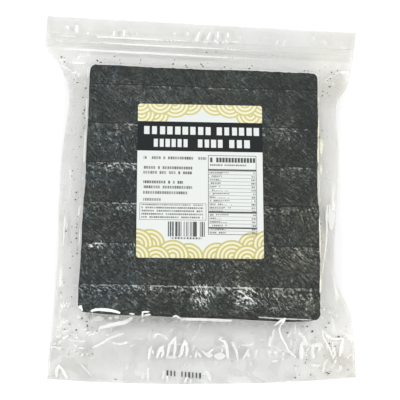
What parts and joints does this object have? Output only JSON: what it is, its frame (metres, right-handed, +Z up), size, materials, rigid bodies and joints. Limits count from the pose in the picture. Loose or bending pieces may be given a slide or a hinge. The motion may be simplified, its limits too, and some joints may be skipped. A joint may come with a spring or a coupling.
{
  "type": "clear zip bag of roasted nori sheets",
  "caption": "Clear press-to-close bag holding a flat stack of dark roasted nori sheets, with a printed paper label on its front.",
  "frame": {"origin": "centre of the footprint, on the surface that the bag lies on", "axes": "+Z up, out of the labelled front; +Y along the bag from its bottom seam to its zip; +X across, to the right of a reader of the label"},
  "size_m": [0.2672, 0.3098, 0.0261],
  "materials": {
    "clear_film": "clear, thin, glossy plastic film with creases",
    "zip_plastic": "clear glossy moulded zip profile",
    "label_paper": "coated white paper with black and pale yellow print",
    "nori": "dry, fibrous, near-black pressed seaweed"
  },
  "bodies": {
    "root": {"bag": "clear_film", "zip_strip": "zip_plastic", "label": "label_paper"}
  },
  "joints": []
}
